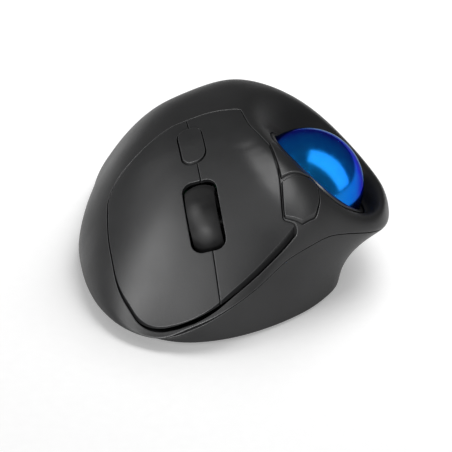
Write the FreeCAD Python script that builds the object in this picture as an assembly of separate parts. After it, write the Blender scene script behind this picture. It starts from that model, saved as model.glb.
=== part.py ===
import FreeCAD, Part
import math
import os

# Thumb-operated trackball mouse.  Millimetres, +Z up, z = 0 is the desk.
# The design is drawn about the scroll wheel's mid-plane: +X is the user's right, +Y the finger end,
# and every piece is moved by ORIGIN_SHIFT when it is written, so that the part's own origin is the
# middle of its footprint on the desk.

V = FreeCAD.Vector
PI = math.pi

# ---------------------------------------------------------------- driving dimensions
BALL_R = 17.0                      # the 34 mm trackball
BALL = V(-33.0, 21.0, 27.0)        # its centre
SOCKET_AXIS = V(-0.676, -0.113, 0.728).normalize()
SOCKET_LIFT = 4.8                  # socket mouth above the ball's centre, along the axis
BALL_GAP = 0.35                    # between the ball and its bezel
BEZEL_R = 18.0
SOCKET_HOLE_R = 18.2               # hole in the shell for the bezel

SHELL = 2.0                        # wall of the upper shell and the lower housing
PLATE = 1.8                        # wall of the click plates
FOOT = 0.8                         # height of the glide feet, and of the housing's underside
FLOOR = FOOT + SHELL               # inside floor of the lower housing
SEAM = 0.3                         # groove between the upper shell and the lower housing
SIDE_GAP = 0.35                    # around each button and plate
FRONT_GAP = 1.5                    # in front of the click plates
ORIGIN_SHIFT = V(12.0, -0.5, 0.0)
BELOW, ABOVE = -5.0, 60.0          # heights clear of the whole body
REACH = 80.0                       # farther out in plan than the body
HAIR = 0.05                        # between pieces that rest on each other

HUB = (0.0, 14.0)                  # plan centre that every outline is seen from
RAYS = 72                          # columns of the body surface's control net
DOME_RINGS = 18                    # its rows from the middle out to the seam
WALL_RINGS = 6                     # its rows from the seam down to the underside

# The seam between the shells: x, y, z round the body, from the right side over the front.
SEAM_LINE = [
    (34.7, 17, 3), (34.3, 29, 3), (32, 41, 3), (26.6, 52.4, 3), (18, 59.5, 3.2), (8, 61, 6.5),
    (-3, 59, 11), (-12, 54.8, 14.7), (-19.8, 50, 18.5), (-26.6, 47, 20.6), (-35.6, 43.2, 22),
    (-45, 40, 20), (-53, 35.3, 17.4), (-57.8, 25.2, 14.8), (-59.2, 11, 14.5), (-56.2, -6.4, 13.5),
    (-49.6, -22.2, 12), (-41, -34.8, 9.5), (-31, -46.5, 6.5), (-18.5, -58.2, 4), (-4, -61, 3),
    (8, -57.5, 3), (16, -49, 3), (21.8, -37, 3), (26.6, -21, 3), (30.9, -7.6, 3), (33.9, 5, 3)]
# The outline that the lower housing stands on.
FOOTPRINT = [
    (31, 17), (30.5, 30), (28, 42), (22, 52), (12, 58.5), (1.5, 59.5), (-12, 56.5), (-21, 52.5),
    (-27.5, 48.6), (-34, 43), (-39, 37), (-41.5, 30), (-42, 20), (-41.5, 7), (-40, -8),
    (-36.5, -23), (-31, -36), (-22, -47), (-12, -53), (0, -54), (9, -50), (17, -38), (23, -24),
    (27, -8), (30, 5)]
# The top of the body: height over the wheel's mid-plane, fall per mm to the right, and the ridge
# beside the thumb with the steeper fall on its thumb side, each along y.
SPINE = [(-62, 5), (-50, 20), (-40, 28.7), (-30, 35.3), (-18, 41.8), (-5, 43.8), (7, 42.4),
         (20, 38.2), (34, 31), (46, 22.5), (57, 13), (66, 4)]
TILT = [(-62, 0.12), (-30, 0.38), (0, 0.27), (20, 0.33), (40, 0.345), (57, 0.38)]
RIGHT_BEND = [(-60, 0.008), (-30, 0.010), (0, 0.008), (25, 0.003), (57, 0.0)]
RIDGE = [(-60, -6), (-30, -12), (-4, -14), (8, -15), (15, -18), (22, -22), (33, -28),
         (40, -27), (46, -25), (60, -22)]
THUMB_FALL = [(-60, 0.50), (-30, 0.78), (-12, 0.83), (5, 0.77), (20, 0.76), (35, 0.76),
              (45, 0.55), (60, 0.35)]
RIDGE_SOFT = [(-60, 20), (-25, 16), (0, 8), (14, 4), (60, 3)]     # how rounded the ridge is
PAD_IN, PAD_OUT = 17.5, 30.0       # flat pad round the socket, and where it has blended away
# How square the shoulder above the seam is, by direction (radians from +X).
SHOULDER = [(-0.50 * PI, 3), (-0.06 * PI, 3), (0.25 * PI, 3), (0.56 * PI, 7), (0.72 * PI, 9),
            (0.82 * PI, 15), (PI, 8), (1.25 * PI, 4), (1.50 * PI, 3), (1.90 * PI, 3), (2.25 * PI, 3)]


# ---------------------------------------------------------------- curves in plain numbers
def smooth(low, high, x):
    """0 below low, 1 above high, with no kink at either end."""
    t = min(1.0, max(0.0, (x - low) / (high - low)))
    return t * t * (3 - 2 * t)


def spline(points):
    """A cubic through (x, y) pairs, straight beyond both ends."""
    xs = [p[0] for p in points]
    ys = [p[1] for p in points]
    last = len(xs) - 1
    slopes = []
    for i in range(last + 1):
        a = max(i - 1, 0)
        b = min(i + 1, last)
        slopes.append((ys[b] - ys[a]) / (xs[b] - xs[a]))

    def value(x):
        if x <= xs[0]:
            return ys[0] + slopes[0] * (x - xs[0])
        if x >= xs[last]:
            return ys[last] + slopes[last] * (x - xs[last])
        i = next(k for k in range(last) if x <= xs[k + 1])
        span = xs[i + 1] - xs[i]
        t = (x - xs[i]) / span
        rise = t * t * (3 - 2 * t)
        start = t * (1 - t) ** 2 * slopes[i]
        end = t * t * (t - 1) * slopes[i + 1]
        return ys[i] + (ys[i + 1] - ys[i]) * rise + span * (start + end)

    return value


def round_hub(points, value):
    """A periodic spline of direction from HUB, through value(point) at each point."""
    pairs = sorted((math.atan2(p[1] - HUB[1], p[0] - HUB[0]) % (2 * PI), value(p)) for p in points)
    before = [(a - 2 * PI, v) for a, v in pairs[-3:]]
    after = [(a + 2 * PI, v) for a, v in pairs[:3]]
    curve = spline(before + pairs + after)
    return lambda angle: curve(angle % (2 * PI))


def from_hub(point):
    """Distance in plan from HUB."""
    return math.hypot(point[0] - HUB[0], point[1] - HUB[1])


seam_r = round_hub(SEAM_LINE, from_hub)
seam_z = round_hub(SEAM_LINE, lambda p: p[2])
foot_r = round_hub(FOOTPRINT, from_hub)
spine = spline(SPINE)
tilt = spline(TILT)
right_bend = spline(RIGHT_BEND)
ridge = spline(RIDGE)
thumb_fall = spline(THUMB_FALL)
ridge_soft = spline(RIDGE_SOFT)
shoulder = spline(SHOULDER)
MOUTH = BALL + SOCKET_AXIS * SOCKET_LIFT


def dome(x, y):
    """Height of the hand-shaped top, before the socket's pad is let in."""
    z = spine(y) - tilt(y) * x - right_bend(y) * max(x, 0) ** 2
    past = max(ridge(y) - x, 0)
    soft = ridge_soft(y)
    return z - thumb_fall(y) * (math.hypot(past, soft) - soft)


def height(x, y):
    """The dome, pressed flat to the socket's mouth round the ball."""
    across = SOCKET_AXIS.x * (x - MOUTH.x) + SOCKET_AXIS.y * (y - MOUTH.y)
    pad = MOUTH.z - across / SOCKET_AXIS.z
    away = (V(x, y, pad) - MOUTH).Length
    top = dome(x, y)
    return top + (pad - top) * (1 - smooth(PAD_IN, PAD_OUT, away))


def slopes(x, y):
    """Rise of the top per mm along x and along y."""
    step = 0.5
    along_x = (height(x + step, y) - height(x - step, y)) / (2 * step)
    along_y = (height(x, y + step) - height(x, y - step)) / (2 * step)
    return along_x, along_y


def steepness(x, y):
    """Vertical thickness of a layer that is 1 mm thick along the surface's normal."""
    return math.hypot(1, *slopes(x, y))


def dome_point(angle, share, inset):
    """A point of the top: share runs from 0 over the hub to 1 at the seam."""
    reach = math.sin(share * PI / 2)
    r = (seam_r(angle) - inset) * reach
    x = HUB[0] + r * math.cos(angle)
    y = HUB[1] + r * math.sin(angle)
    edge = seam_z(angle)
    least_rise = 0.2
    drop = math.sqrt(max(0.0, 1 - reach ** shoulder(angle % (2 * PI))))
    top = height(x, y) - inset * steepness(x, y)
    return V(x, y, edge + max(top - edge, least_rise) * drop)


def wall_point(angle, share, inset, bottom):
    """A point of the hollow lower wall: share runs from 0 at the seam to 1 at the underside."""
    waist = 1.7
    out = foot_r(angle) + (seam_r(angle) - foot_r(angle)) * (1 - share) ** waist - inset
    z = seam_z(angle) + (bottom - seam_z(angle)) * share
    return V(HUB[0] + out * math.cos(angle), HUB[1] + out * math.sin(angle), z)


# ---------------------------------------------------------------- solids from rings and outlines
def net_solid(rings):
    """A solid whose skin is one smooth surface over rings of points, with flat ends."""
    columns = len(rings[0])
    rows = len(rings)
    poles = [[ring[i] for ring in rings] for i in range(columns)]
    surface = Part.BSplineSurface()
    surface.buildFromPolesMultsKnots(
        poles, [1] * (columns + 1), [4] + [1] * (rows - 4) + [4],
        list(range(columns + 1)), list(range(rows - 2)), True, False, 3, 3)
    ends = [surface.vIso(0).toShape(), surface.vIso(rows - 3).toShape()]
    faces = [surface.toShape()] + [Part.Face(Part.Wire([edge])) for edge in ends]
    shell = Part.makeShell(faces)
    shell.sewShape()
    solid = Part.Solid(Part.Shell(shell.Faces))
    if solid.Volume < 0:
        solid.reverse()
    return solid


def middle_ring(angles, inset):
    """A small ring round HUB that lies in the top's own tangent plane."""
    radius = 1.2
    top = height(*HUB) - inset * steepness(*HUB)
    along_x, along_y = slopes(*HUB)
    ring = []
    for a in angles:
        x = radius * math.cos(a)
        y = radius * math.sin(a)
        ring.append(V(HUB[0] + x, HUB[1] + y, top + along_x * x + along_y * y))
    return ring


def body(inset):
    """The whole outer form, moved in by inset; an inner one runs on through the underside."""
    angles = [2 * PI * i / RAYS for i in range(RAYS)]
    bottom = FOOT if inset <= 0 else -1.0
    first = 0.06                       # share at which the rings begin
    rings = [middle_ring(angles, inset)]
    for k in range(1, DOME_RINGS + 1):
        share = first + (1 - first) * k / DOME_RINGS
        rings.append([dome_point(a, share, inset) for a in angles])
    for k in range(1, WALL_RINGS + 1):
        rings.append([wall_point(a, k / WALL_RINGS, inset, bottom) for a in angles])
    return net_solid(rings)


LAYERS = {}


def layer(inset):
    """The body at an inset, made once."""
    if inset not in LAYERS:
        LAYERS[inset] = body(inset)
    return LAYERS[inset].copy()


def skin(outside, inside):
    """The wall between two insets of the body."""
    return layer(outside).cut(layer(inside))


def below_seam(rise):
    """Everything under the seam surface, lifted by rise."""
    angles = [2 * PI * i / RAYS for i in range(RAYS)]
    middle_z = 10.0
    beyond = 1.3

    def ring(radius, z):
        points = []
        for a in angles:
            r = radius(a)
            points.append(V(HUB[0] + r * math.cos(a), HUB[1] + r * math.sin(a), z(a)))
        curve = Part.BSplineCurve()
        curve.interpolate(points, PeriodicFlag=True)
        return Part.Wire([curve.toShape()])

    wires = [
        ring(lambda a: 1.0, lambda a: middle_z + rise),
        ring(seam_r, lambda a: seam_z(a) + rise),
        ring(lambda a: beyond * seam_r(a), lambda a: seam_z(a) + rise),
        ring(lambda a: beyond * seam_r(a), lambda a: 4 * BELOW)]
    return Part.makeLoft(wires, True, True)


def inset_outline(corners, by):
    """The polygon of (x, y, radius) corners with every side moved in by a distance."""
    least_radius = 0.2
    moved = []
    count = len(corners)
    for i in range(count):
        before = V(*corners[i - 1][:2], 0)
        here = V(*corners[i][:2], 0)
        after = V(*corners[(i + 1) % count][:2], 0)
        first = (here - before).normalize()
        second = (after - here).normalize()
        turn = first.x * second.y - first.y * second.x
        across = V(-first.y - second.y, first.x + second.x, 0)
        point = here + across * (by / (1 + first.dot(second)))
        radius = corners[i][2] - by if turn > 0 else corners[i][2] + by
        moved.append((point.x, point.y, max(radius, least_radius)))
    return moved


def outline_wire(corners):
    """A closed wire of straight sides and tangent arcs, corners counter-clockwise."""
    longest = 0.47                     # share of a side that one arc may use up
    count = len(corners)
    starts = []
    arcs = []
    for i in range(count):
        before = V(*corners[i - 1][:2], 0)
        here = V(*corners[i][:2], 0)
        after = V(*corners[(i + 1) % count][:2], 0)
        back = (before - here).normalize()
        ahead = (after - here).normalize()
        half = math.acos(max(-1.0, min(1.0, back.dot(ahead)))) / 2
        reach = corners[i][2] / math.tan(half)
        reach = min(reach, longest * (before - here).Length, longest * (after - here).Length)
        radius = reach * math.tan(half)
        middle = (back + ahead).normalize()
        apex = here + middle * (radius / math.sin(half) - radius)
        start = here + back * reach
        end = here + ahead * reach
        starts.append((start, end))
        arcs.append(Part.Arc(start, apex, end).toShape())
    edges = []
    for i in range(count):
        edges.append(arcs[i])
        edges.append(Part.makeLine(starts[i][1], starts[(i + 1) % count][0]))
    return Part.Wire(edges)


def prism(corners, low, high, inset=0.0):
    """An upright block with a rounded outline."""
    wire = outline_wire(inset_outline(corners, inset))
    wire.translate(V(0, 0, low))
    return Part.Face(wire).extrude(V(0, 0, high - low))


def rounded_box(x, y, wide, deep, radius, low, high):
    """An upright block about (x, y)."""
    a = wide / 2
    b = deep / 2
    corners = [(x - a, y - b, radius), (x + a, y - b, radius),
               (x + a, y + b, radius), (x - a, y + b, radius)]
    return prism(corners, low, high)


def block(x0, x1, y0, y1, z0, z1):
    """A box between two places along each axis."""
    return Part.makeBox(x1 - x0, y1 - y0, z1 - z0, V(x0, y0, z0))


def rod(radius, start, end):
    """A cylinder from one point to another."""
    return Part.makeCylinder(radius, (end - start).Length, start, end - start)


def turned(profile, origin, axis):
    """A closed (radius, height) profile turned about an axis through origin."""
    points = [V(r, 0, h) for r, h in profile]
    face = Part.Face(Part.makePolygon(points + points[:1]))
    ring = face.revolve(V(0, 0, 0), V(0, 0, 1), 360)
    return placed(ring, origin, axis)


def placed(shape, origin, z_axis, x_axis=None):
    """The shape moved from its own axes to an origin and directions."""
    z = V(z_axis).normalize()
    x = V(x_axis) if x_axis else V(1, 0, 0)
    x = (x - z * x.dot(z)).normalize()
    turn = FreeCAD.Rotation(x, z.cross(x), z, "ZXY")
    return shape.transformed(FreeCAD.Placement(origin, turn).toMatrix())


def joined(shapes):
    """One clean solid from overlapping ones."""
    whole = shapes[0]
    for shape in shapes[1:]:
        whole = whole.fuse(shape)
    return whole.removeSplitter()


# ---------------------------------------------------------------- the tilted deck under the fingers
# Local axes of the wheel and the switch board: u to the right, v towards the finger end, w out
# of the surface; w = 0 is the surface over the wheel.
WHEEL_X, WHEEL_Y = 1.2, 35.5
SIDE_SLOPE = 0.33
FRONT_SLOPE = 0.65
DECK_AT = V(WHEEL_X, WHEEL_Y, height(WHEEL_X, WHEEL_Y))
DECK_W = V(SIDE_SLOPE, FRONT_SLOPE, 1).normalize()
DECK_V = V(0, 1, -FRONT_SLOPE).normalize()
DECK_U = DECK_V.cross(DECK_W)


def pillar(radius, x, y, low, high):
    """An upright cylinder between two heights."""
    return Part.makeCylinder(radius, high - low, V(x, y, low))


def on_deck(shape):
    """From deck axes (u, v, w) to the design."""
    return placed(shape, DECK_AT, DECK_W, DECK_U)


def deck_point(u, v, w):
    """The place in the design of a point given in deck axes."""
    return DECK_AT + DECK_U * u + DECK_V * v + DECK_W * w


# Outlines in plan: x, y and corner radius, counter-clockwise.
PANEL = [(-16.0, 6.2, 1.2), (-6, 2.8, 40), (4, 3.4, 60), (13, 6.0, 40), (25.4, 9.8, 9),
         (27.6, 25, 60), (27.4, 42, 30), (21.8, 56.8, 12), (6, 60.2, 30), (-10.2, 54.4, 60),
         (-26.2, 45.4, 1.2), (-21.0, 43.8, 0.6), (-21.7, 36.0, 30), (-20.6, 25.0, 1.2),
         (-17.2, 15.0, 30)]
BACK_BUTTON = [(-20.6, 24.4, 0.8), (-21.7, 36.2, 0.4), (-31.8, 36.8, 0.4), (-31.8, 22.0, 0.4),
               (-24.0, 21.6, 0.4)]
FORWARD_BUTTON = [(-31.2, 37.3, 0.6), (-21.7, 36.7, 0.4), (-21.1, 43.7, 0.8), (-26.3, 45.1, 1.4),
                  (-30.7, 43.8, 2.5), (-32.3, 41.6, 2.5), (-32.2, 38.6, 1.5)]
DPI = (0.4, 14.1, 7.6, 13.6, 3.3)              # x, y, width, length, corner radius of its pocket
WHEEL_SLOT = (-0.2, 1.0, 10.4, 22.8, 3.4)     # the same for the wheel's, in the deck's u and v

WHEEL_R = 11.5
WHEEL_WIDE = 8.6
TYRE_BORE = WHEEL_R - 2.4
AXLE_R = 1.28
WHEEL_SINK = 8.4                               # axle below the surface
PIVOT_V, PIVOT_W = -15.0, -9.0                 # rear pivot of the wheel's carrier
PIN_R = 1.0
PIN_HOLE_R = 1.03
WHEEL_SWITCH_V = 16.1                          # switch under the carrier's front bar
CLICK_AT = (10.8, 8.8)                         # u, v of each main switch
PLUNGER_V = 3.0                                # its plunger, ahead of its middle
PLUNGER_TOP = -4.6                             # w of the plunger's top at rest
SWITCH_TOP = -5.2                              # w of the main switches' upper faces
BOARD_TOP = -11.5                              # w of the switch board's upper face
BOARD_THICK = 1.6
BOARD_SCREWS = [(-11.8, 1.5), (15.5, 14.5), (-5.0, -21.5)]     # u, v of the board's screws
SWITCH_HALF, SWITCH_LONG = 2.9, 5.2            # a main switch to each side of its middle, u and v
BATTERY = V(0.0, -16.2, 10.2)                  # middle of the AA cell
BATTERY_R = 7.1
BATTERY_LONG = 49.4
DOOR_TOP = 1.95                                # upper face of the battery door
DOOR_LEDGE = 1.1                               # width of the ledge that the battery door lies on
SCREWS = [(25.3, 22.0), (15.0, -26.0), (-20.0, -38.0), (-34.0, -14.0)]
MAIN_BOARD_Z = 4.4                             # underside of the main board
BOARD_PINS = [(-10, 34), (17, 19)]             # pins of the housing that hold it
BOSS_TOP = 6.0                                 # the screws' bosses end and the posts begin here
EJECT = (-33.0, 21.0)                          # hole for pushing the ball out
EJECT_R = 4.6
POWER = (-20.0, -25.0)                         # middle of the power switch
POWER_TRAVEL = 3.0
KNOB_LONG = 4.0
THUMB_SWITCH = (-24.0, 41.0, 20.6)             # x, y and board height of the thumb switch
THUMB_BOARD_THICK = 1.0
BOWL_ROOM_R = 19.3                             # sphere kept clear for the cup under the ball


def socket_hole(radius, low=-1.2, high=25.0):
    """A cylinder about the socket's axis."""
    return rod(radius, BALL + SOCKET_AXIS * low, BALL + SOCKET_AXIS * high)


def ball_space(radius):
    """A sphere about the ball's centre."""
    return Part.makeSphere(radius, BALL)


THUMB_LOW = 10.0                    # below the thumb buttons and the speed button


def thumb_prisms(inset):
    """The thumb buttons' outlines as upright blocks over the thumb side."""
    return [prism(outline, THUMB_LOW, ABOVE, inset) for outline in (BACK_BUTTON, FORWARD_BUTTON)]


# ---------------------------------------------------------------- housing
def screw_posts():
    """Posts down to the housing's bosses; the one under the click plates stops at the ledge."""
    gap = 0.2
    under_plates, under_shell = 3.4, 1.0
    posts = []
    for k, (x, y) in enumerate(SCREWS):
        post = pillar(2.8, x, y, BOSS_TOP + gap, ABOVE)
        posts.append(post.common(layer(under_plates if k == 0 else under_shell)))
    return posts


def panel_ledge():
    """The recess that the click plates sit in: a side wall and a narrow ledge."""
    wall = 1.5
    shelf = 2.5
    shelf_top, shelf_under = 3.2, 4.4
    around = prism(PANEL, BELOW, ABOVE, -wall)
    recess = prism(PANEL, BELOW, ABOVE)
    ledge = layer(SHELL / 2).common(around)
    ledge = ledge.cut(recess.cut(layer(shelf_top)))
    ledge = ledge.cut(prism(PANEL, BELOW, ABOVE, shelf))
    ledge = ledge.cut(layer(shelf_under))
    return ledge.cut(below_seam(2 * SEAM))


def upper_shell():
    """The palm shell, open for the click plates, the thumb buttons and the ball."""
    pilot_r, pilot_end = 1.05, 15.5
    shell = skin(0, SHELL).cut(below_seam(SEAM / 2))
    shell = shell.cut(prism(PANEL, BELOW, ABOVE))
    shell = joined([shell, panel_ledge()] + screw_posts())
    for hole in thumb_prisms(0):
        shell = shell.cut(hole)
    shell = shell.cut(socket_hole(SOCKET_HOLE_R))
    shell = shell.cut(ball_space(BOWL_ROOM_R - 0.3))
    for x, y in SCREWS:
        shell = shell.cut(pillar(pilot_r, x, y, BOSS_TOP, pilot_end))
    return largest(shell)


def largest(shape):
    """The biggest solid of a shape: the cuts can leave loose crumbs."""
    return max(shape.Solids, key=lambda s: s.Volume)


def floor_bosses():
    """Bosses for the case screws, and the stand-offs and pins that hold the main board."""
    low = FOOT + SHELL / 2
    bosses = [pillar(3.8, x, y, low, BOSS_TOP) for x, y in SCREWS]
    for x, y in BOARD_PINS:
        bosses.append(pillar(2.4, x, y, low, MAIN_BOARD_Z - HAIR))
        bosses.append(pillar(1.2, x, y, low, MAIN_BOARD_Z + 2.2))
    return bosses


def battery_room(grow, low, high):
    """The cell's bay with its contacts, grown all round."""
    side_room, contact_room = 0.3, 2.2
    wide = 2 * (BATTERY_R + side_room + grow)
    deep = BATTERY_LONG + 2 * (contact_room + grow)
    return rounded_box(BATTERY.x, BATTERY.y, wide, deep, 1.0 + grow, low, high)


def lower_housing():
    """The tub: floor, side wall, battery bay, screw bosses and the thumb switch's post."""
    hollow = layer(SHELL).common(block(-REACH, REACH, -REACH, REACH, FLOOR, ABOVE))
    tub = largest(layer(0).cut(hollow).common(below_seam(-SEAM / 2)))
    bay_wall, bay_top = 1.2, 11.0
    cradle = battery_room(bay_wall, FLOOR - 0.5, bay_top).cut(battery_room(0, 0, bay_top + 1))
    x, y, board_z = THUMB_SWITCH
    post = pillar(1.8, x, y, FOOT + 0.7, board_z - HAIR)
    tub = joined([tub, cradle, post] + floor_bosses())
    tub = tub.cut(battery_room(0, 0, FLOOR + 0.2))
    tub = tub.cut(battery_room(DOOR_LEDGE, 0, DOOR_TOP + HAIR))
    tub = tub.cut(pillar(EJECT_R, EJECT[0], EJECT[1], 0, FLOOR + 1))
    tub = tub.cut(rounded_box(POWER[0], POWER[1], 3.4, 8.4, 1.0, 0, FLOOR + 1))
    head_seat = 3.4
    for x, y in SCREWS:
        tub = tub.cut(pillar(2.6, x, y, 0, head_seat))
        tub = tub.cut(pillar(1.3, x, y, 0, BOSS_TOP + 2))
    return largest(tub)


def glide_feet():
    """Five low pads under the housing: middle, width and length of each."""
    pads = [(2, 51, 20, 5.6), (23, -3, 5.6, 15), (-36.6, 0, 5, 16), (-5, -48.6, 14, 4.4),
            (-29.5, 39.5, 8, 8)]
    feet = []
    for x, y, wide, deep in pads:
        pad = rounded_box(x, y, wide, deep, min(wide, deep) / 2 - 0.1, 0, FOOT)
        feet.append(bevelled(pad, 0.25, 0))
    return Part.makeCompound(feet)


def bevelled(shape, size, z):
    """The shape with the edges of its flat face at height z rounded."""
    edges = [e for e in shape.Edges
             if abs(e.BoundBox.ZMin - z) < 1e-4 and abs(e.BoundBox.ZMax - z) < 1e-4]
    return shape.makeFillet(size, edges)


def housing_screws():
    """Four cross-head screws."""
    head_low, head_high, tip = 1.85, 3.35, 13.8
    arm, half = 1.5, 0.3
    recess_top = head_low + arm / 2
    screws = []
    for x, y in SCREWS:
        screw = pillar(2.3, x, y, head_low, head_high).fuse(pillar(1.0, x, y, head_high - HAIR, tip))
        for along, across in ((arm, half), (half, arm)):
            screw = screw.cut(block(x - along, x + along, y - across, y + across, 1.0, recess_top))
        screws.append(screw.removeSplitter())
    return Part.makeCompound(screws)


# ---------------------------------------------------------------- click plates and buttons
def panel_plate(side):
    """One click plate: side is +1 for the right, -1 for the left."""
    rear = prism(PANEL, BELOW, ABOVE, SIDE_GAP)
    short = rear.copy()
    short.translate(V(0, SIDE_GAP - FRONT_GAP, 0))
    outline = rear.common(short)
    plate = skin(0, PLATE).common(outline).cut(below_seam(1.0))
    split = SIDE_GAP / 2
    near, far = (split, REACH) if side > 0 else (-REACH, -split)
    plate = plate.common(block(near, far, -REACH, REACH, BELOW, ABOVE))
    x, y, wide, deep, radius = DPI
    plate = plate.cut(rounded_box(x, y, wide, deep, radius, THUMB_LOW, ABOVE))
    u, v, wide, deep, radius = WHEEL_SLOT
    slot = rounded_box(u, v, wide, deep, radius, -2 * WHEEL_R, 2 * WHEEL_R)
    plate = plate.cut(on_deck(slot))
    plate = plate.cut(socket_hole(SOCKET_HOLE_R + 0.2)).cut(ball_space(BOWL_ROOM_R))
    return largest(plate)


def click_plate(side):
    """A click plate with the boss under it that pushes its switch."""
    u = side * CLICK_AT[0]
    v = CLICK_AT[1] + PLUNGER_V
    boss = rod(1.6, deck_point(u, v, PLUNGER_TOP + HAIR), deck_point(u, v, 2))
    return largest(joined([panel_plate(side), boss.common(layer(PLATE - 0.8))]))


def dpi_button():
    """The speed button between the plates: a raised cap on a stem."""
    x, y, wide, deep, radius = DPI
    gap = 0.45
    rise = 0.5
    cap_under = 2.6
    stem_low = 36.0
    outline = rounded_box(x, y, wide - 2 * gap, deep - 2 * gap, radius - gap, THUMB_LOW, ABOVE)
    cap = layer(0)
    cap.translate(V(0, 0, rise))
    cap = cap.common(outline).cut(layer(cap_under))
    stem = pillar(1.4, x, y, stem_low, ABOVE).common(layer(1.0))
    return largest(joined([cap, stem]))


def thumb_cap(outline):
    """The skin of one thumb button, a little proud of the shell."""
    proud, thick = 0.3, 1.8
    cap = skin(-proud, thick - proud).common(prism(outline, THUMB_LOW, ABOVE, SIDE_GAP))
    return largest(cap.cut(socket_hole(SOCKET_HOLE_R + 0.15)).cut(ball_space(BOWL_ROOM_R)))


def back_button():
    return thumb_cap(BACK_BUTTON)


def forward_button():
    """The front thumb button with the stem that pushes its switch."""
    x, y, board_z = THUMB_SWITCH
    stem = pillar(1.0, x, y, board_z + 4.4, ABOVE)
    return largest(joined([thumb_cap(FORWARD_BUTTON), stem.common(layer(0.8))]))


def thumb_board():
    x, y, z = THUMB_SWITCH
    return rounded_box(x, y, 4.8, 4.2, 0.5, z, z + THUMB_BOARD_THICK)


def forward_switch():
    """The small push switch on the thumb board."""
    x, y, z = THUMB_SWITCH
    low = z + THUMB_BOARD_THICK + HAIR
    case = rounded_box(x, y, 3.8, 3.8, 0.4, low, z + 3.0)
    return case.fuse(pillar(1.1, x, y, z + 2.6, z + 3.6)).removeSplitter()


# ---------------------------------------------------------------- ball and socket
def trackball():
    """The thumb's ball, lying loose on its three bearings."""
    return Part.makeSphere(BALL_R, BALL)


def ball_bezel():
    """The thin sleeve round the ball's opening, standing on the cup's rim."""
    foot = 0.1 - BOWL_RIM
    mouth = SOCKET_LIFT + 0.25
    lip = 0.3
    inside = BALL_R - 2.0
    sleeve = turned([(inside, foot), (BEZEL_R, foot), (BEZEL_R, mouth - lip),
                     (BEZEL_R - lip, mouth), (inside, mouth)], BALL, SOCKET_AXIS)
    return largest(sleeve.cut(ball_space(BALL_R + BALL_GAP)).common(layer(-0.3)))


BOWL_RIM = 1.0                      # the bowl's rim below the ball's centre, along the axis
BEARING_R = 1.25
BEARING_TURN = 1.75                 # direction of the first bearing about the axis, in radians
BEARING_FIT = 0.02                  # between a bearing and what it touches
BEARING_DROP = 40.0                 # degrees below the ball's equator


def bearing_points():
    """Centres of the three support balls, touching the trackball but for a hair."""
    drop = math.radians(BEARING_DROP)
    reach = BALL_R + BEARING_R + BEARING_FIT
    side = V(0, 1, 0).cross(SOCKET_AXIS).normalize()
    ahead = SOCKET_AXIS.cross(side)
    points = []
    for k in range(3):
        turn = 2 * PI * k / 3 + BEARING_TURN
        level = side * math.cos(turn) + ahead * math.sin(turn)
        way = level * math.cos(drop) - SOCKET_AXIS * math.sin(drop)
        points.append(BALL + way * reach)
    return points


def support_bearings():
    """Three ceramic balls that carry the trackball."""
    return Part.makeCompound([Part.makeSphere(BEARING_R, p) for p in bearing_points()])


SENSOR_WAY = V(0.45, -0.75, -0.48).normalize()   # from the ball's centre to its sensor
CUP_R = 18.7
LENS_R = 3.0
CHIP_LOW, CHIP_HIGH = 21.4, 23.6    # the sensor chip's faces, out from the ball's centre


def ball_cup():
    """The bowl under the ball, with its bearing pockets, sensor window and push-out tube."""
    beyond = 2 * CUP_R
    tube_wall = 1.2
    bowl = ball_space(CUP_R)
    tube = pillar(EJECT_R + tube_wall, EJECT[0], EJECT[1], FLOOR + 0.1, BALL.z - 0.75 * CUP_R)
    bowl = bowl.fuse(tube)
    pockets = [(point, (point - BALL).normalize()) for point in bearing_points()]
    for point, outward in pockets:
        bowl = bowl.fuse(rod(2.2, BALL + outward * (CUP_R - 0.9), BALL + outward * (CUP_R + 1.5)))
    bowl = bowl.cut(ball_space(BALL_R + 0.5))
    bowl = bowl.cut(rod(beyond, BALL - SOCKET_AXIS * BOWL_RIM, BALL + SOCKET_AXIS * beyond))
    bowl = bowl.cut(pillar(EJECT_R, EJECT[0], EJECT[1], 0, ABOVE))
    bowl = bowl.cut(rod(LENS_R + 0.2, BALL, BALL + SENSOR_WAY * beyond))
    for point, outward in pockets:
        bowl = bowl.cut(Part.makeSphere(BEARING_R + BEARING_FIT, point))
        bowl = bowl.cut(rod(BEARING_R + BEARING_FIT, BALL, point))
        bowl = bowl.cut(rod(0.5, point, point + outward * 5))
    return largest(bowl.removeSplitter())


def on_sensor(shape):
    """From sensor axes (z away from the ball, x level) to the design."""
    level = V(0, 0, 1).cross(SENSOR_WAY)
    return placed(shape, BALL, SENSOR_WAY, level)


def sensor_lens():
    """A clear barrel with a flange, looking at the ball through the bowl's window."""
    clear_of_ball = BALL_R + 0.6
    barrel = pillar(LENS_R, 0, 0, clear_of_ball + 0.1, CHIP_LOW - 0.1)
    flange = block(-5, 5, -3.8, 3.8, CUP_R + 0.3, CHIP_LOW - 1.0)
    return on_sensor(barrel.fuse(flange).removeSplitter().cut(Part.makeSphere(clear_of_ball)))


def sensor_chip():
    return on_sensor(block(-5.5, 5.5, -3.6, 3.6, CHIP_LOW, CHIP_HIGH))


def sensor_board():
    """The small board behind the sensor chip, with two fixing holes."""
    low = CHIP_HIGH + 0.1
    board = rounded_box(0, 0, 17, 12.5, 1.0, low, low + 1.0)
    for x in (-7.0, 7.0):
        board = board.cut(pillar(0.8, x, 0, low - 1, low + 2))
    return on_sensor(board)


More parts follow.
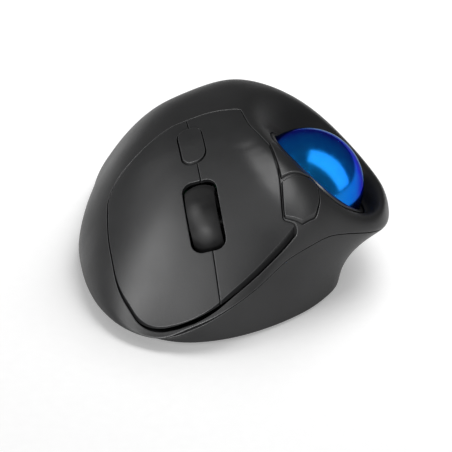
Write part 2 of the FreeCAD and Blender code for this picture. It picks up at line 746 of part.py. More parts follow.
# ---------------------------------------------------------------- scroll wheel
def wheel_tyre():
    """The rubber barrel, crowned across."""
    half = WHEEL_WIDE / 2
    crown = 1.3
    shoulder_r = WHEEL_R - crown
    edges = [
        Part.makeLine(V(TYRE_BORE, 0, -half), V(shoulder_r, 0, -half)),
        Part.Arc(V(shoulder_r, 0, -half), V(WHEEL_R, 0, 0), V(shoulder_r, 0, half)).toShape(),
        Part.makeLine(V(shoulder_r, 0, half), V(TYRE_BORE, 0, half)),
        Part.makeLine(V(TYRE_BORE, 0, half), V(TYRE_BORE, 0, -half))]
    ring = Part.Face(Part.Wire(edges)).revolve(V(0, 0, 0), V(0, 0, 1), 360)
    return placed(ring, deck_point(0, 0, -WHEEL_SINK), DECK_U)


def wheel_hub():
    """The hub inside the tyre: rim, web and five round windows."""
    half = WHEEL_WIDE / 2 - 0.4
    outside = TYRE_BORE - 0.02
    inside = outside - 1.4
    web_half = 1.2
    boss_r = 2.6
    rim = pillar(outside, 0, 0, -half, half).cut(pillar(inside, 0, 0, -half, half))
    web = pillar(inside + 0.2, 0, 0, -web_half, web_half)
    boss = pillar(boss_r, 0, 0, -half, half)
    hub = joined([rim, web, boss]).cut(pillar(AXLE_R + 0.02, 0, 0, -WHEEL_R, WHEEL_R))
    middle = (boss_r + inside) / 2
    windows = 5
    for k in range(windows):
        turn = 2 * PI * k / windows
        x = middle * math.cos(turn)
        y = middle * math.sin(turn)
        hub = hub.cut(pillar(1.6, x, y, -half, half))
    return placed(hub, deck_point(0, 0, -WHEEL_SINK), DECK_U)


def across_deck(radius, half, v, w):
    """A rod along u, the same length to both sides of the wheel's mid-plane."""
    return rod(radius, deck_point(-half, v, w), deck_point(half, v, w))


def wheel_axle():
    return across_deck(AXLE_R, ARM_OUT - 0.2, 0, -WHEEL_SINK)


ARM_IN, ARM_OUT = 6.1, 7.5          # the carrier's side arms, u
ARM_LOW, ARM_HIGH = -10.4, -5.6     # the same, w
LUG_U, LUG_HALF = 9.0, 1.1          # lugs of the deck that hold the carrier's pin


def wheel_carrier():
    """The yoke that holds the wheel and rocks on its rear pin."""
    front = WHEEL_SWITCH_V + 1.6
    rear = PIVOT_V - 1.5
    bar_thick, front_thick = 3.0, 1.6
    right = block(ARM_IN, ARM_OUT, rear, front, ARM_LOW, ARM_HIGH)
    left = block(-ARM_OUT, -ARM_IN, rear, front, ARM_LOW, ARM_HIGH)
    rear_bar = block(-ARM_OUT, ARM_OUT, rear, PIVOT_V + 1.6, ARM_LOW, ARM_LOW + bar_thick)
    front_bar = block(-ARM_OUT, ARM_OUT, WHEEL_SWITCH_V - 1.7, front, ARM_HIGH - front_thick, ARM_HIGH)
    yoke = on_deck(joined([right, left, rear_bar, front_bar]))
    yoke = yoke.cut(across_deck(AXLE_R + HAIR, 2 * ARM_OUT, 0, -WHEEL_SINK))
    return yoke.cut(across_deck(PIN_HOLE_R, 2 * ARM_OUT, PIVOT_V, PIVOT_W))


def carrier_pin():
    return across_deck(PIN_R, LUG_U + 0.7, PIVOT_V, PIVOT_W)


def wheel_encoder():
    """The rotary encoder clipped to the carrier's right arm, with the axle's end in it."""
    case = block(ARM_OUT + HAIR, ARM_OUT + 2.6, -5.4, 3.0, ARM_LOW - 0.6, ARM_HIGH + 0.8)
    return on_deck(case).cut(across_deck(AXLE_R + 0.22, 2 * ARM_OUT, 0, -WHEEL_SINK))


# ---------------------------------------------------------------- switch board and its deck
def inner_deck():
    """The inner deck under the click plates, with the board's posts and the carrier's lugs."""
    outside, inside = 4.7, 6.2         # insets of its faces
    plate = skin(outside, inside).common(prism(PANEL, BELOW, ABOVE, 0.6)).cut(below_seam(1.5))
    plate = plate.cut(ball_space(BOWL_ROOM_R))
    plate = plate.cut(pillar(3.3, SCREWS[0][0], SCREWS[0][1], 0, ABOVE))
    for window in deck_windows():
        plate = plate.cut(window)
    room = layer((outside + inside) / 2)
    posts = [on_deck(post).common(room) for post in deck_posts()]
    solid = joined([largest(plate)] + posts)
    solid = solid.cut(across_deck(PIN_HOLE_R, LUG_U + 3, PIVOT_V, PIVOT_W))
    for u, v in BOARD_SCREWS:
        solid = solid.cut(on_deck(pillar(0.85, u, v, BOARD_TOP, BOARD_TOP + 5)))
    return largest(solid)


def deck_windows():
    """Openings for the wheel's carrier, the speed switch, the encoder and the click switches."""
    openings = [(-8.0, 8.0, -17.5, 19.5), (-2.4, 5.2, -24.2, -16.4), (7.9, ARM_OUT + 3.1, -6.2, 5.2)]
    half, long = SWITCH_HALF + 0.5, SWITCH_LONG + 0.5
    for side in (1, -1):
        u, v = side * CLICK_AT[0], CLICK_AT[1]
        openings.append((u - half, u + half, v - long, v + long))
    return [on_deck(block(*opening, -2 * WHEEL_R, WHEEL_R)) for opening in openings]


def deck_posts():
    """In deck axes: the lugs of the carrier's pin and the posts of the switch board."""
    posts = []
    for u in (-LUG_U, LUG_U):
        posts.append(block(u - LUG_HALF, u + LUG_HALF, PIVOT_V - 2, PIVOT_V + 2, BOARD_TOP + 0.2, -2))
    for u, v in BOARD_SCREWS:
        posts.append(pillar(1.7, u, v, BOARD_TOP + 0.1, BOARD_TOP + 16))
    return posts


def switch_board():
    """The board under the deck, with a slot for the wheel."""
    corners = [(-7.4, -25.0, 1), (9.0, -25.0, 1), (16.5, -16, 2), (18.5, -6, 2), (18.5, 19, 2),
               (-14.3, 20.5, 2), (-14.3, 2.6, 1), (-13.0, -0.2, 1), (-9.0, -3.4, 1)]
    low = BOARD_TOP - BOARD_THICK
    wheel_room = WHEEL_R + 1.2
    board = prism(corners, low, BOARD_TOP)
    board = board.cut(block(-5.8, 5.8, -wheel_room, wheel_room, low - 1, BOARD_TOP + 1))
    for u, v in BOARD_SCREWS:
        board = board.cut(pillar(1.0, u, v, low - 1, BOARD_TOP + 1))
    return on_deck(board)


def board_screws():
    """Three pan-head screws from below."""
    low = BOARD_TOP - BOARD_THICK - HAIR
    screws = []
    for u, v in BOARD_SCREWS:
        head = pillar(1.5, u, v, low - 1.0, low)
        shaft = pillar(0.8, u, v, low - 0.2, low + 5.4)
        screws.append(on_deck(head.fuse(shaft).removeSplitter()))
    return Part.makeCompound(screws)


def click_switch(side):
    """A snap-action switch: a case with a slot for its plunger."""
    u, v = side * CLICK_AT[0], CLICK_AT[1]
    case = block(u - SWITCH_HALF, u + SWITCH_HALF, v - SWITCH_LONG, v + SWITCH_LONG,
                 BOARD_TOP + HAIR, SWITCH_TOP)
    return on_deck(case.cut(plunger_block(side, HAIR, SWITCH_TOP - 2.2, 0)))


def plunger_block(side, grow, low, high):
    """In deck axes: a plunger's outline between two heights, grown all round."""
    u, v = side * CLICK_AT[0], CLICK_AT[1] + PLUNGER_V
    half, long = 1.5 + grow, 0.8 + grow
    return block(u - half, u + half, v - long, v + long, low, high)


def click_plunger(side):
    return on_deck(plunger_block(side, 0, PLUNGER_TOP - 1.7, PLUNGER_TOP))


def tact_switch(u, v, tall):
    """A small square push switch: case and round button."""
    top = BOARD_TOP + tall
    case = rounded_box(u, v, 6, 6, 0.4, BOARD_TOP + HAIR, top - 0.7)
    return on_deck(case.fuse(pillar(1.6, u, v, top - 1.0, top)).removeSplitter())


def dpi_switch():
    return tact_switch(1.4, -20.3, 3.6)


def wheel_switch():
    return tact_switch(0, WHEEL_SWITCH_V, 3.5)


# ---------------------------------------------------------------- electronics, battery, power switch
def main_board():
    """The board on the floor under the deck, hung on two pins."""
    corners = [(-14, 15, 1), (20.8, 15, 1), (20.8, 32, 3), (17, 38, 2), (-14, 38, 2)]
    board = prism(corners, MAIN_BOARD_Z, MAIN_BOARD_Z + BOARD_THICK)
    for x, y in BOARD_PINS:
        board = board.cut(pillar(1.3, x, y, MAIN_BOARD_Z - 1, MAIN_BOARD_Z + 3))
    return board


def controller_chip():
    low = MAIN_BOARD_Z + BOARD_THICK + HAIR
    return rounded_box(4, 24, 8, 8, 0.3, low, low + 1.0)


def battery_cell():
    """The AA cell, lying along y with its nub towards the fingers."""
    along = V(0, 1, 0)
    start = BATTERY - along * (BATTERY_LONG / 2)
    shoulder_at = start + along * (BATTERY_LONG - 1.2)
    end = start + along * BATTERY_LONG
    can = rod(BATTERY_R, start, shoulder_at)
    return can.fuse(rod(2.7, shoulder_at - along * 0.2, end)).removeSplitter()


def battery_contact():
    """The flat contact plate at the positive end."""
    y = BATTERY.y + BATTERY_LONG / 2 + 0.3
    return block(BATTERY.x - 5, BATTERY.x + 5, y, y + 0.5, 4.4, 15.0)


def battery_spring():
    """The coil contact at the negative end."""
    wire_r = 0.35
    pitch, turns = 0.9, 1.5
    coil_r = 3.6
    y = BATTERY.y - BATTERY_LONG / 2 - wire_r - HAIR
    helix = Part.makeHelix(pitch, turns * pitch, coil_r)
    start = Part.Wire([Part.makeCircle(wire_r, V(coil_r, 0, 0), V(0, 1, 0))])
    coil = Part.Wire(helix.Edges).makePipeShell([start], True, True)
    return placed(coil, V(BATTERY.x, y, BATTERY.z), V(0, -1, 0))


def battery_door():
    """The door in the underside, with three finger grooves."""
    slack = 0.25
    door = battery_room(DOOR_LEDGE - slack, FOOT + HAIR, DOOR_TOP)
    groove, spacing = 0.7, 1.6
    for k in range(3):
        y = BATTERY.y - BATTERY_LONG / 2 + 2.0 + spacing * k
        door = door.cut(block(-4, 4, y, y + groove, 0, FOOT + 0.4))
    return door


def power_switch():
    """The slide switch's case, standing on the housing's floor."""
    x, y = POWER
    slot_half = (KNOB_LONG + POWER_TRAVEL) / 2 + 0.4
    case = block(x - 2.6, x + 2.6, y - 5.5, y + 5.5, FLOOR + HAIR, FLOOR + 3.6)
    return case.cut(block(x - 1.4, x + 1.4, y - slot_half, y + slot_half, FLOOR - 1, FLOOR + 1.8))


def power_slider():
    """The ribbed knob, at the off end of its travel."""
    x, y = POWER
    half = 1.2
    rear = y - (KNOB_LONG + POWER_TRAVEL) / 2
    knob_low = FOOT - 0.35
    knob = block(x - half, x + half, rear, rear + KNOB_LONG, knob_low, FLOOR + 1.6)
    groove, spacing = 0.5, 1.1
    for k in range(3):
        start = rear + 0.6 + spacing * k
        knob = knob.cut(block(x - 2, x + 2, start, start + groove, 0, knob_low + 0.3))
    return knob


# ---------------------------------------------------------------- write
PIECES = {
    "upper_shell": upper_shell, "lower_housing": lower_housing, "glide_feet": glide_feet,
    "housing_screws": housing_screws,
    "right_click_plate": lambda: click_plate(1), "left_click_plate": lambda: click_plate(-1),
    "dpi_button": dpi_button, "back_button": back_button, "forward_button": forward_button,
    "trackball": trackball, "ball_bezel": ball_bezel, "ball_cup": ball_cup,
    "support_bearings": support_bearings, "sensor_lens": sensor_lens, "sensor_chip": sensor_chip,
    "sensor_board": sensor_board,
    "wheel_tyre": wheel_tyre, "wheel_hub": wheel_hub, "wheel_axle": wheel_axle,
    "wheel_carrier": wheel_carrier, "carrier_pin": carrier_pin, "wheel_encoder": wheel_encoder,
    "inner_deck": inner_deck, "switch_board": switch_board, "board_screws": board_screws,
    "right_click_switch": lambda: click_switch(1), "left_click_switch": lambda: click_switch(-1),
    "right_plunger": lambda: click_plunger(1), "left_plunger": lambda: click_plunger(-1),
    "dpi_switch": dpi_switch, "wheel_switch": wheel_switch,
    "thumb_board": thumb_board, "forward_switch": forward_switch,
    "main_board": main_board, "controller_chip": controller_chip,
    "battery_cell": battery_cell, "battery_contact": battery_contact,
    "battery_spring": battery_spring, "battery_door": battery_door,
    "power_switch": power_switch, "power_slider": power_slider}

os.makedirs("parts", exist_ok=True)
for name, make in PIECES.items():
    piece = make()
    piece.translate(ORIGIN_SHIFT)
    piece.exportStep("parts/" + name + ".step")
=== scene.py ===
import math

import bpy
from mathutils import Matrix, Vector

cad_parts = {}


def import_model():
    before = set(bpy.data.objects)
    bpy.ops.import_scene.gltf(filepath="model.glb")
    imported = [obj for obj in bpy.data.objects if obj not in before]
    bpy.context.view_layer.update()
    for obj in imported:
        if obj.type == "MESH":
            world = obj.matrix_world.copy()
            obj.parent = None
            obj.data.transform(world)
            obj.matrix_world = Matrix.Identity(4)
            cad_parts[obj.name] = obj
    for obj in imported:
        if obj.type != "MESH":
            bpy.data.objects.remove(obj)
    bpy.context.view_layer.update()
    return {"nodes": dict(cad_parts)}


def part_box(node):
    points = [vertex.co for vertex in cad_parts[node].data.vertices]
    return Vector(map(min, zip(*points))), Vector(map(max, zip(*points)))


# A trackball mouse on a pale floor.  Metres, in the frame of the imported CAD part:
# +X is the user's right, +Y the finger end, +Z up, and z = 0 is the desk.

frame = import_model()
NODES = frame["nodes"]
MM = 0.001

# ---------------------------------------------------------------- named settings
# Noise, and the edge mask for wear and painted edge highlights
NOISE_LOW = 0.3         # most values of a noise texture lie between NOISE_LOW and NOISE_HIGH
NOISE_HIGH = 0.7
BEVEL_SAMPLES = 6
EDGE_DOT = 0.86         # rounded normal against true normal: this far apart is a full edge, with wear and a painted highlight
SKIN_DOT = 0.995        # and this close is untouched flat skin

# Moulded plastic
MOTTLE = 9 * MM         # size of the faint patches of tone
SMUDGE = 22 * MM        # size of the handling marks
ROUGH_SWING = 0.05      # how far grain and handling marks each move the roughness
EDGE_SHINE = -0.10      # how far an edge's wear moves it
EDGE_HIGHLIGHT_SHARE = 0.8         # how much of the painted edge highlight shows
EDGE_HIGHLIGHT_GAIN = 4.0       # the painted edge highlight's tone, from the plastic's light tone
EDGE_HIGHLIGHT_LIFT = 0.02
GRAIN_CELLS = 1.7       # size of the grain's rounded cells, in sizes of the fine grain
GRAIN_STRENGTH = 0.8
MOULDED_SPECULAR = 0.42

# Battery jacket
BAND_LONG = 13.0 * MM   # the copper band, from the positive end
BAND_BLUR = 0.2 * MM

# Stage
FLOOR_SIDE = 4.0
FLOOR_GLOW = 0.32       # lifts the floor to a near-white paper tone

# Camera: degrees, metres from the ball, and millimetres of lens and sensor
VIEW_AZIMUTH = 169
VIEW_ELEVATION = 30
VIEW_AWAY = 0.650
VIEW_LENS = 174.4
VIEW_SENSOR = 36
BALL_RIGHT = 0.03684    # how far the ball sits from the middle of the view, as a share of VIEW_AWAY
BALL_UP = 0.01872


# ---------------------------------------------------------------- places taken from the frame
def middle(node):
    """The centre of a CAD node's box."""
    low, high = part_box(node)
    return (low + high) / 2


BALL = middle("trackball")
BODY = middle("upper_shell")


# ---------------------------------------------------------------- node helpers
def grey(value):
    """An even tone with no colour in it."""
    return (value, value, value)


class Look:
    """A material being built: its nodes, its links and its Principled shader."""

    # the colour sockets of a Mix node go by number, because their names repeat for each data type
    FIRST_COLOUR = 6
    SECOND_COLOUR = 7
    MIXED_COLOUR = 2

    def __init__(self, name):
        self.material = bpy.data.materials.new(name)
        self.material.use_nodes = True
        self.tree = self.material.node_tree
        self.tree.nodes.clear()
        self.shader = self.node("ShaderNodeBsdfPrincipled")
        out = self.node("ShaderNodeOutputMaterial")
        self.link(self.shader.outputs["BSDF"], out.inputs["Surface"])
        self.coords = self.node("ShaderNodeTexCoord").outputs["Object"]

    def node(self, kind, **settings):
        made = self.tree.nodes.new(kind)
        for key, value in settings.items():
            setattr(made, key, value)
        return made

    def link(self, source, target):
        self.tree.links.new(source, target)

    def feed(self, target, value):
        """Gives a socket either a link or a plain value."""
        if isinstance(value, bpy.types.NodeSocket):
            self.link(value, target)
        else:
            target.default_value = value

    def set(self, **inputs):
        """Feeds the shader's inputs, named with underscores for their spaces."""
        for key, value in inputs.items():
            self.feed(self.shader.inputs[key.replace("_", " ")], value)

    def noise(self, size, detail, stretch=None):
        """Noise with features of about this size in metres."""
        made = self.node("ShaderNodeTexNoise")
        made.inputs["Scale"].default_value = 1 / size
        made.inputs["Detail"].default_value = detail
        coords = self.coords
        if stretch:
            mapping = self.node("ShaderNodeMapping")
            mapping.inputs["Scale"].default_value = stretch
            self.link(coords, mapping.inputs["Vector"])
            coords = mapping.outputs["Vector"]
        self.link(coords, made.inputs["Vector"])
        return made.outputs["Fac"]

    def grains(self, size):
        """Rounded cells of about this size: how far each point is from its cell's middle."""
        made = self.node("ShaderNodeTexVoronoi")
        made.inputs["Scale"].default_value = 1 / size
        self.link(self.coords, made.inputs["Vector"])
        return made.outputs["Distance"]

    def spread(self, value, low, high, start=NOISE_LOW, end=NOISE_HIGH):
        """Maps start..end of a value to low..high."""
        made = self.node("ShaderNodeMapRange")
        self.feed(made.inputs["Value"], value)
        made.inputs["From Min"].default_value = start
        made.inputs["From Max"].default_value = end
        made.inputs["To Min"].default_value = low
        made.inputs["To Max"].default_value = high
        return made.outputs["Result"]

    def mix(self, share, first, second):
        """Blends two colours, each a link or a plain value."""
        made = self.node("ShaderNodeMix", data_type="RGBA")
        self.feed(made.inputs["Factor"], share)
        for socket, colour in ((self.FIRST_COLOUR, first), (self.SECOND_COLOUR, second)):
            if isinstance(colour, bpy.types.NodeSocket):
                self.link(colour, made.inputs[socket])
            else:
                made.inputs[socket].default_value = (*colour, 1)
        return made.outputs[self.MIXED_COLOUR]

    def two_tone(self, value, first, second, start=NOISE_LOW, end=NOISE_HIGH):
        """A colour that follows a texture: first at start, second at end."""
        return self.mix(self.spread(value, 0, 1, start, end), first, second)

    def arithmetic(self, operation, first, second):
        made = self.node("ShaderNodeMath", operation=operation)
        self.feed(made.inputs[0], first)
        self.feed(made.inputs[1], second)
        return made.outputs[0]

    def sum(self, first, second):
        return self.arithmetic("ADD", first, second)

    def product(self, first, second):
        return self.arithmetic("MULTIPLY", first, second)

    def ramp(self, value, stops):
        """A colour read off along a row of (place, colour) stops."""
        made = self.node("ShaderNodeValToRGB")
        self.feed(made.inputs["Fac"], value)
        points = made.color_ramp.elements
        while len(points) < len(stops):
            points.new(0.5)
        for point, (place, colour) in zip(points, stops):
            point.position = place
            point.color = (*colour, 1)
        return made.outputs["Color"]

    def rounded(self, radius):
        """A normal that looks as if sharp edges were rounded by radius."""
        made = self.node("ShaderNodeBevel", samples=BEVEL_SAMPLES)
        made.inputs["Radius"].default_value = radius
        return made.outputs["Normal"]

    def edge(self, radius):
        """1 on edges and 0 on flat skin: where the rounded normal leaves the true one."""
        geometry = self.node("ShaderNodeNewGeometry")
        dot = self.node("ShaderNodeVectorMath", operation="DOT_PRODUCT")
        self.link(self.rounded(radius), dot.inputs[0])
        self.link(geometry.outputs["Normal"], dot.inputs[1])
        return self.spread(dot.outputs["Value"], 1.0, 0.0, EDGE_DOT, SKIN_DOT)

    def bump(self, height, depth, strength, normal=None):
        """Raises the surface's normal by a texture, over the rounded normal if one is given."""
        made = self.node("ShaderNodeBump")
        made.inputs["Distance"].default_value = depth
        made.inputs["Strength"].default_value = strength
        self.link(height, made.inputs["Height"])
        if normal:
            self.link(normal, made.inputs["Normal"])
        self.link(made.outputs["Normal"], self.shader.inputs["Normal"])


# ---------------------------------------------------------------- moulded plastics
def moulded(name, dark, light, rough, grain=0.28 * MM, depth=0.010 * MM, edge=0.35 * MM):
    """Satin moulded plastic: eroded grain, faint mottling, handling marks, softened edges and a
    painted highlight along them.
    """
    look = Look(name)
    mottle = look.noise(MOTTLE, detail=3)
    # edge mask: it drives wear in the roughness and a painted highlight in the colour
    edge_wear_and_highlight = look.edge(edge)
    tone = look.two_tone(mottle, dark, light)
    # painted highlight: a lighter tone laid along edges, seams and gaps
    painted_edge_highlight_tone = tuple(min(1.0, EDGE_HIGHLIGHT_GAIN * c + EDGE_HIGHLIGHT_LIFT) for c in light)
    look.set(Base_Color=look.mix(look.product(edge_wear_and_highlight, EDGE_HIGHLIGHT_SHARE), tone, painted_edge_highlight_tone))
    fine = look.noise(grain, detail=2)
    smudge = look.spread(look.noise(SMUDGE, detail=4), -ROUGH_SWING, ROUGH_SWING)
    base = look.spread(fine, rough - ROUGH_SWING, rough + ROUGH_SWING)
    shine = look.sum(look.sum(base, smudge), look.product(edge_wear_and_highlight, EDGE_SHINE))
    look.set(Roughness=shine, Specular_IOR_Level=MOULDED_SPECULAR)
    height = look.sum(fine, look.grains(GRAIN_CELLS * grain))
    look.bump(height, depth, GRAIN_STRENGTH, look.rounded(edge))
    return look.material


def shell_plastic():
    return moulded("shell_black", dark=(0.0080, 0.0080, 0.0083), light=(0.0105, 0.0106, 0.0110),
                   rough=0.46)


def plate_plastic():
    return moulded("plate_black", dark=(0.0085, 0.0086, 0.0090), light=(0.0110, 0.0112, 0.0116),
                   rough=0.42)


def inner_plastic():
    return moulded("inner_plastic", dark=(0.006, 0.006, 0.0062), light=(0.009, 0.009, 0.0095),
                   rough=0.55, edge=0.1 * MM)


def bezel_plastic():
    return moulded("bezel_black", dark=(0.008, 0.008, 0.0085), light=(0.012, 0.012, 0.0125),
                   rough=0.36, grain=0.2 * MM, depth=0.005 * MM, edge=0.15 * MM)


def chip_epoxy():
    return moulded("chip_black", dark=(0.010, 0.010, 0.011), light=(0.016, 0.016, 0.017),
                   rough=0.55, grain=0.15 * MM, depth=0.008 * MM, edge=0.08 * MM)


def tact_plastic():
    return moulded("tact_black", dark=grey(0.012), light=grey(0.020),
                   rough=0.45, grain=0.15 * MM, depth=0.006 * MM, edge=0.08 * MM)


def plunger_plastic():
    return moulded("plunger_red", dark=(0.25, 0.015, 0.012), light=(0.36, 0.03, 0.02),
                   rough=0.35, grain=0.15 * MM, depth=0.006 * MM, edge=0.08 * MM)


def hub_plastic():
    return moulded("hub_plastic", dark=(0.020, 0.020, 0.021), light=(0.030, 0.030, 0.031),
                   rough=0.5, grain=0.2 * MM, depth=0.008 * MM, edge=0.1 * MM)


# ---------------------------------------------------------------- other materials
def wheel_rubber():
    """Soft dark rubber with a fine grain and patches rubbed smoother."""
    look = Look("wheel_rubber")
    fine = look.noise(0.18 * MM, detail=2)
    wear = look.noise(4 * MM, detail=3)
    tone = look.two_tone(wear, (0.005, 0.005, 0.0052), (0.009, 0.009, 0.0092))
    look.set(Base_Color=tone, Roughness=look.spread(wear, 0.42, 0.54), Sheen_Weight=0.03,
             Specular_IOR_Level=0.24)
    grain = look.sum(fine, look.grains(0.4 * MM))
    look.bump(grain, depth=0.008 * MM, strength=0.8, normal=look.rounded(0.3 * MM))
    return look.material


def foot_rubber():
    """Dark rubber with fine scuffs."""
    look = Look("feet_rubber")
    scuff = look.noise(1.2 * MM, detail=4, stretch=(1, 6, 1))
    tone = look.two_tone(scuff, grey(0.012), grey(0.028))
    look.set(Base_Color=tone, Roughness=look.spread(scuff, 0.32, 0.55))
    look.bump(scuff, depth=0.01 * MM, strength=0.6, normal=look.rounded(0.15 * MM))
    return look.material


def ball_pearl():
    """Blue metallic pearl, azure where it faces the eye, with painted shade darkening it to navy
    where it turns away.
    """
    look = Look("ball_blue")
    # painted shade: the ramp below darkens the blue toward the rim, navy at the silhouette
    painted_rim_shade_weight = look.node("ShaderNodeLayerWeight")
    painted_rim_shade_weight.inputs["Blend"].default_value = 0.42
    stops = [(0.00, (0.004, 0.190, 0.56)),
             (0.30, (0.003, 0.130, 0.60)),
             (0.60, (0.002, 0.070, 0.50)),
             (0.85, (0.001, 0.024, 0.24)),
             (1.00, (0.001, 0.012, 0.12))]
    body = look.ramp(painted_rim_shade_weight.outputs["Facing"], stops)
    flakes = look.grains(0.22 * MM)
    cloud = look.noise(2.6 * MM, detail=4)
    glint = look.spread(flakes, 0.30, 0.0, start=0.0, end=0.5)
    glitter = look.sum(glint, look.spread(cloud, 0, 0.25))
    look.set(Base_Color=look.mix(glitter, body, (0.006, 0.24, 0.62)))
    look.set(Metallic=1.0, Roughness=look.spread(cloud, 0.15, 0.22), Coat_Weight=0.08,
             Coat_Roughness=look.spread(look.noise(7 * MM, detail=3), 0.02, 0.05),
             Specular_Tint=(0.02, 0.22, 0.45, 1.0))
    look.bump(look.sum(flakes, cloud), depth=0.004 * MM, strength=0.35)
    return look.material


def steel():
    """Brushed bright steel."""
    look = Look("steel")
    brush = look.noise(0.35 * MM, detail=3, stretch=(1, 14, 1))
    tone = look.two_tone(brush, (0.42, 0.42, 0.43), (0.62, 0.62, 0.64))
    look.set(Base_Color=tone, Metallic=1.0, Roughness=look.spread(brush, 0.22, 0.40))
    look.bump(brush, depth=0.004 * MM, strength=0.5, normal=look.rounded(0.08 * MM))
    return look.material


def ceramic():
    """Warm white ceramic with a high polish."""
    look = Look("bearing_ceramic")
    fine = look.noise(0.5 * MM, detail=3)
    look.set(Base_Color=look.two_tone(fine, (0.72, 0.70, 0.66), (0.80, 0.79, 0.76)),
             Roughness=look.spread(fine, 0.08, 0.16), Coat_Weight=0.5)
    look.bump(fine, depth=0.002 * MM, strength=0.3)
    return look.material


def clear_lens():
    """Clear moulded lens."""
    look = Look("lens_clear")
    fine = look.noise(1.5 * MM, detail=2)
    look.set(Base_Color=look.two_tone(fine, (0.86, 0.90, 0.94), (0.92, 0.95, 0.97)),
             Roughness=look.spread(fine, 0.03, 0.09), Transmission_Weight=0.9, IOR=1.49)
    look.bump(fine, depth=0.003 * MM, strength=0.2)
    return look.material


def board_resist():
    """Green solder resist over woven board cloth."""
    look = Look("board_green")
    weave = look.noise(0.5 * MM, detail=2, stretch=(1, 5, 1))
    cross = look.noise(0.5 * MM, detail=2, stretch=(5, 1, 1))
    cloth = look.product(weave, cross)
    cloth_low = 0.1
    cloth_high = 0.45
    tone = look.two_tone(cloth, (0.006, 0.060, 0.026), (0.012, 0.105, 0.045), cloth_low, cloth_high)
    look.set(Base_Color=tone, Roughness=look.spread(cloth, 0.24, 0.36, cloth_low, cloth_high),
             Coat_Weight=0.4)
    look.bump(cloth, depth=0.01 * MM, strength=0.4, normal=look.rounded(0.08 * MM))
    return look.material


def cell_jacket():
    """A plain battery jacket: blue film with a copper band near the positive end."""
    look = Look("cell_jacket")
    split = look.node("ShaderNodeSeparateXYZ")
    look.link(look.coords, split.inputs["Vector"])
    band_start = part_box("battery_cell")[1].y - BAND_LONG
    band = look.spread(split.outputs["Y"], 0, 1, band_start - BAND_BLUR, band_start)
    fine = look.noise(1.1 * MM, detail=3)
    film = look.two_tone(fine, (0.015, 0.05, 0.16), (0.025, 0.075, 0.21))
    copper = look.two_tone(fine, (0.45, 0.20, 0.08), (0.55, 0.27, 0.12))
    look.set(Base_Color=look.mix(band, film, copper), Metallic=look.product(band, 0.7),
             Roughness=look.spread(fine, 0.22, 0.34), Coat_Weight=0.3)
    look.bump(fine, depth=0.006 * MM, strength=0.4)
    return look.material


def floor_paint():
    """Matt near-white paper."""
    look = Look("floor_pale")
    fine = look.noise(3 * MM, detail=3)
    look.set(Base_Color=look.two_tone(fine, grey(0.86), grey(0.89)),
             Roughness=look.spread(fine, 0.75, 0.85), Specular_IOR_Level=0.2,
             Emission_Color=(1.0, 1.0, 1.0, 1.0), Emission_Strength=FLOOR_GLOW)
    return look.material


# Each material, and the CAD nodes that wear it
LOOKS = [
    (shell_plastic, ["upper_shell", "lower_housing", "battery_door"]),
    (plate_plastic, ["left_click_plate", "right_click_plate", "dpi_button", "back_button",
                     "forward_button"]),
    (ball_pearl, ["trackball"]),
    (bezel_plastic, ["ball_bezel"]),
    (inner_plastic, ["ball_cup", "inner_deck", "wheel_carrier", "wheel_encoder", "power_switch",
                     "left_click_switch", "right_click_switch", "wheel_axle"]),
    (hub_plastic, ["wheel_hub", "power_slider"]),
    (wheel_rubber, ["wheel_tyre"]),
    (steel, ["housing_screws", "board_screws", "carrier_pin", "battery_contact", "battery_spring"]),
    (ceramic, ["support_bearings"]),
    (foot_rubber, ["glide_feet"]),
    (clear_lens, ["sensor_lens"]),
    (chip_epoxy, ["sensor_chip", "controller_chip"]),
    (board_resist, ["sensor_board", "switch_board", "main_board", "thumb_board"]),
    (plunger_plastic, ["left_plunger", "right_plunger"]),
    (tact_plastic, ["dpi_switch", "wheel_switch", "forward_switch"]),
    (cell_jacket, ["battery_cell"]),
]


def paint():
    """Gives every CAD node its material."""
    for make, names in LOOKS:
        material = make()
        for name in names:
            node = NODES[name]
            node.data.materials.clear()
            node.data.materials.append(material)


# ---------------------------------------------------------------- stage
def floor():
    """A wide plane at the height of the desk."""
    bpy.ops.mesh.primitive_plane_add(size=FLOOR_SIDE, location=(BODY.x, BODY.y, 0))
    plane = bpy.context.object
    plane.name = "floor"
    plane.data.materials.append(floor_paint())
    return plane


def way(azimuth, elevation):
    """The direction out to a viewer at these angles in degrees.

    Azimuth 0 is the palm end, 90 the user's right and 180 the finger end.
    """
    a = math.radians(azimuth)
    e = math.radians(elevation)
    return Vector((math.sin(a) * math.cos(e), -math.cos(a) * math.cos(e), math.sin(e)))


def only_on(light, things):
    """Makes a light shine on these objects alone."""
    lit = bpy.data.collections.new(light.name + "_only")
    for thing in things:
        lit.objects.link(thing)
    light.light_linking.receiver_collection = lit


def softbox(name, things, azimuth, elevation, away, wide, tall, power):
    """An area light aimed at the middle of the body that shines on these objects alone."""
    data = bpy.data.lights.new(name, "AREA")
    data.shape = "RECTANGLE"
    data.size = wide
    data.size_y = tall
    data.energy = power
    light = bpy.data.objects.new(name, data)
    bpy.context.scene.collection.objects.link(light)
    light.location = BODY + way(azimuth, elevation) * away
    light.rotation_euler = (BODY - light.location).to_track_quat("-Z", "Y").to_euler()
    only_on(light, things)


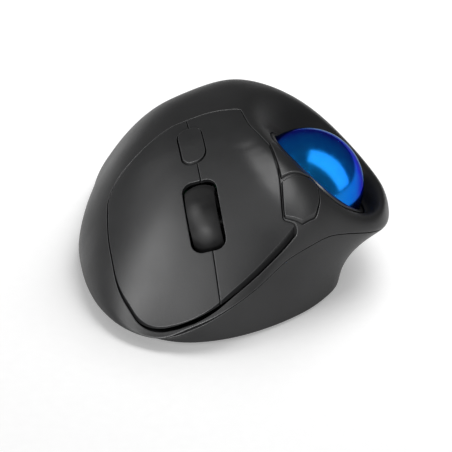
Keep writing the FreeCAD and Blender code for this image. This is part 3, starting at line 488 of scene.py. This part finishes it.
def world(fill, backdrop):
    """Even grey fill for the object, and a white backdrop for the camera."""
    made = bpy.data.worlds.new("studio")
    made.use_nodes = True
    tree = made.node_tree
    tree.nodes.clear()
    path = tree.nodes.new("ShaderNodeLightPath")
    soft = tree.nodes.new("ShaderNodeBackground")
    seen = tree.nodes.new("ShaderNodeBackground")
    mix = tree.nodes.new("ShaderNodeMixShader")
    out = tree.nodes.new("ShaderNodeOutputWorld")
    soft.inputs["Color"].default_value = (fill, fill, fill, 1)
    seen.inputs["Color"].default_value = (backdrop, backdrop, backdrop, 1)
    tree.links.new(path.outputs["Is Camera Ray"], mix.inputs["Fac"])
    # the two shader inputs share one name, so they go by number
    tree.links.new(soft.outputs["Background"], mix.inputs[1])
    tree.links.new(seen.outputs["Background"], mix.inputs[2])
    tree.links.new(mix.outputs["Shader"], out.inputs["Surface"])
    bpy.context.scene.world = made


def camera():
    """Looks down at the finger end, from 11 degrees toward the user's right."""
    azimuth = math.radians(VIEW_AZIMUTH)
    back = way(VIEW_AZIMUTH, VIEW_ELEVATION)
    right = Vector((math.cos(azimuth), math.sin(azimuth), 0))
    up = back.cross(right)
    data = bpy.data.cameras.new("camera")
    data.sensor_width = VIEW_SENSOR
    data.lens = VIEW_LENS
    view = bpy.data.objects.new("camera", data)
    bpy.context.scene.collection.objects.link(view)
    place = BALL - right * (BALL_RIGHT * VIEW_AWAY) - up * (BALL_UP * VIEW_AWAY) + back * VIEW_AWAY
    turn = Matrix((right, up, back)).transposed().to_4x4()
    view.matrix_world = Matrix.Translation(place) @ turn
    bpy.context.scene.camera = view


def studio(desk):
    """Softboxes: three shape the body, one draws the ball's band and one lights the desk."""
    ball = [NODES["trackball"]]
    mouse = list(NODES.values())
    softbox("strip", ball, azimuth=247, elevation=44, away=0.80, wide=0.52, tall=1.45, power=4.4)
    softbox("key", mouse, azimuth=98, elevation=44, away=1.00, wide=0.50, tall=0.50, power=5.6)
    softbox("front", mouse, azimuth=132, elevation=36, away=0.95, wide=0.60, tall=0.40, power=4.2)
    softbox("low", mouse, azimuth=165, elevation=9, away=0.85, wide=0.60, tall=0.16, power=7.5)
    softbox("rear", [desk], azimuth=318, elevation=52, away=1.00, wide=0.70, tall=0.70, power=9.5)
    world(fill=0.22, backdrop=1.0)


paint()
studio(floor())
camera()
bpy.context.scene.view_settings.view_transform = "Standard"
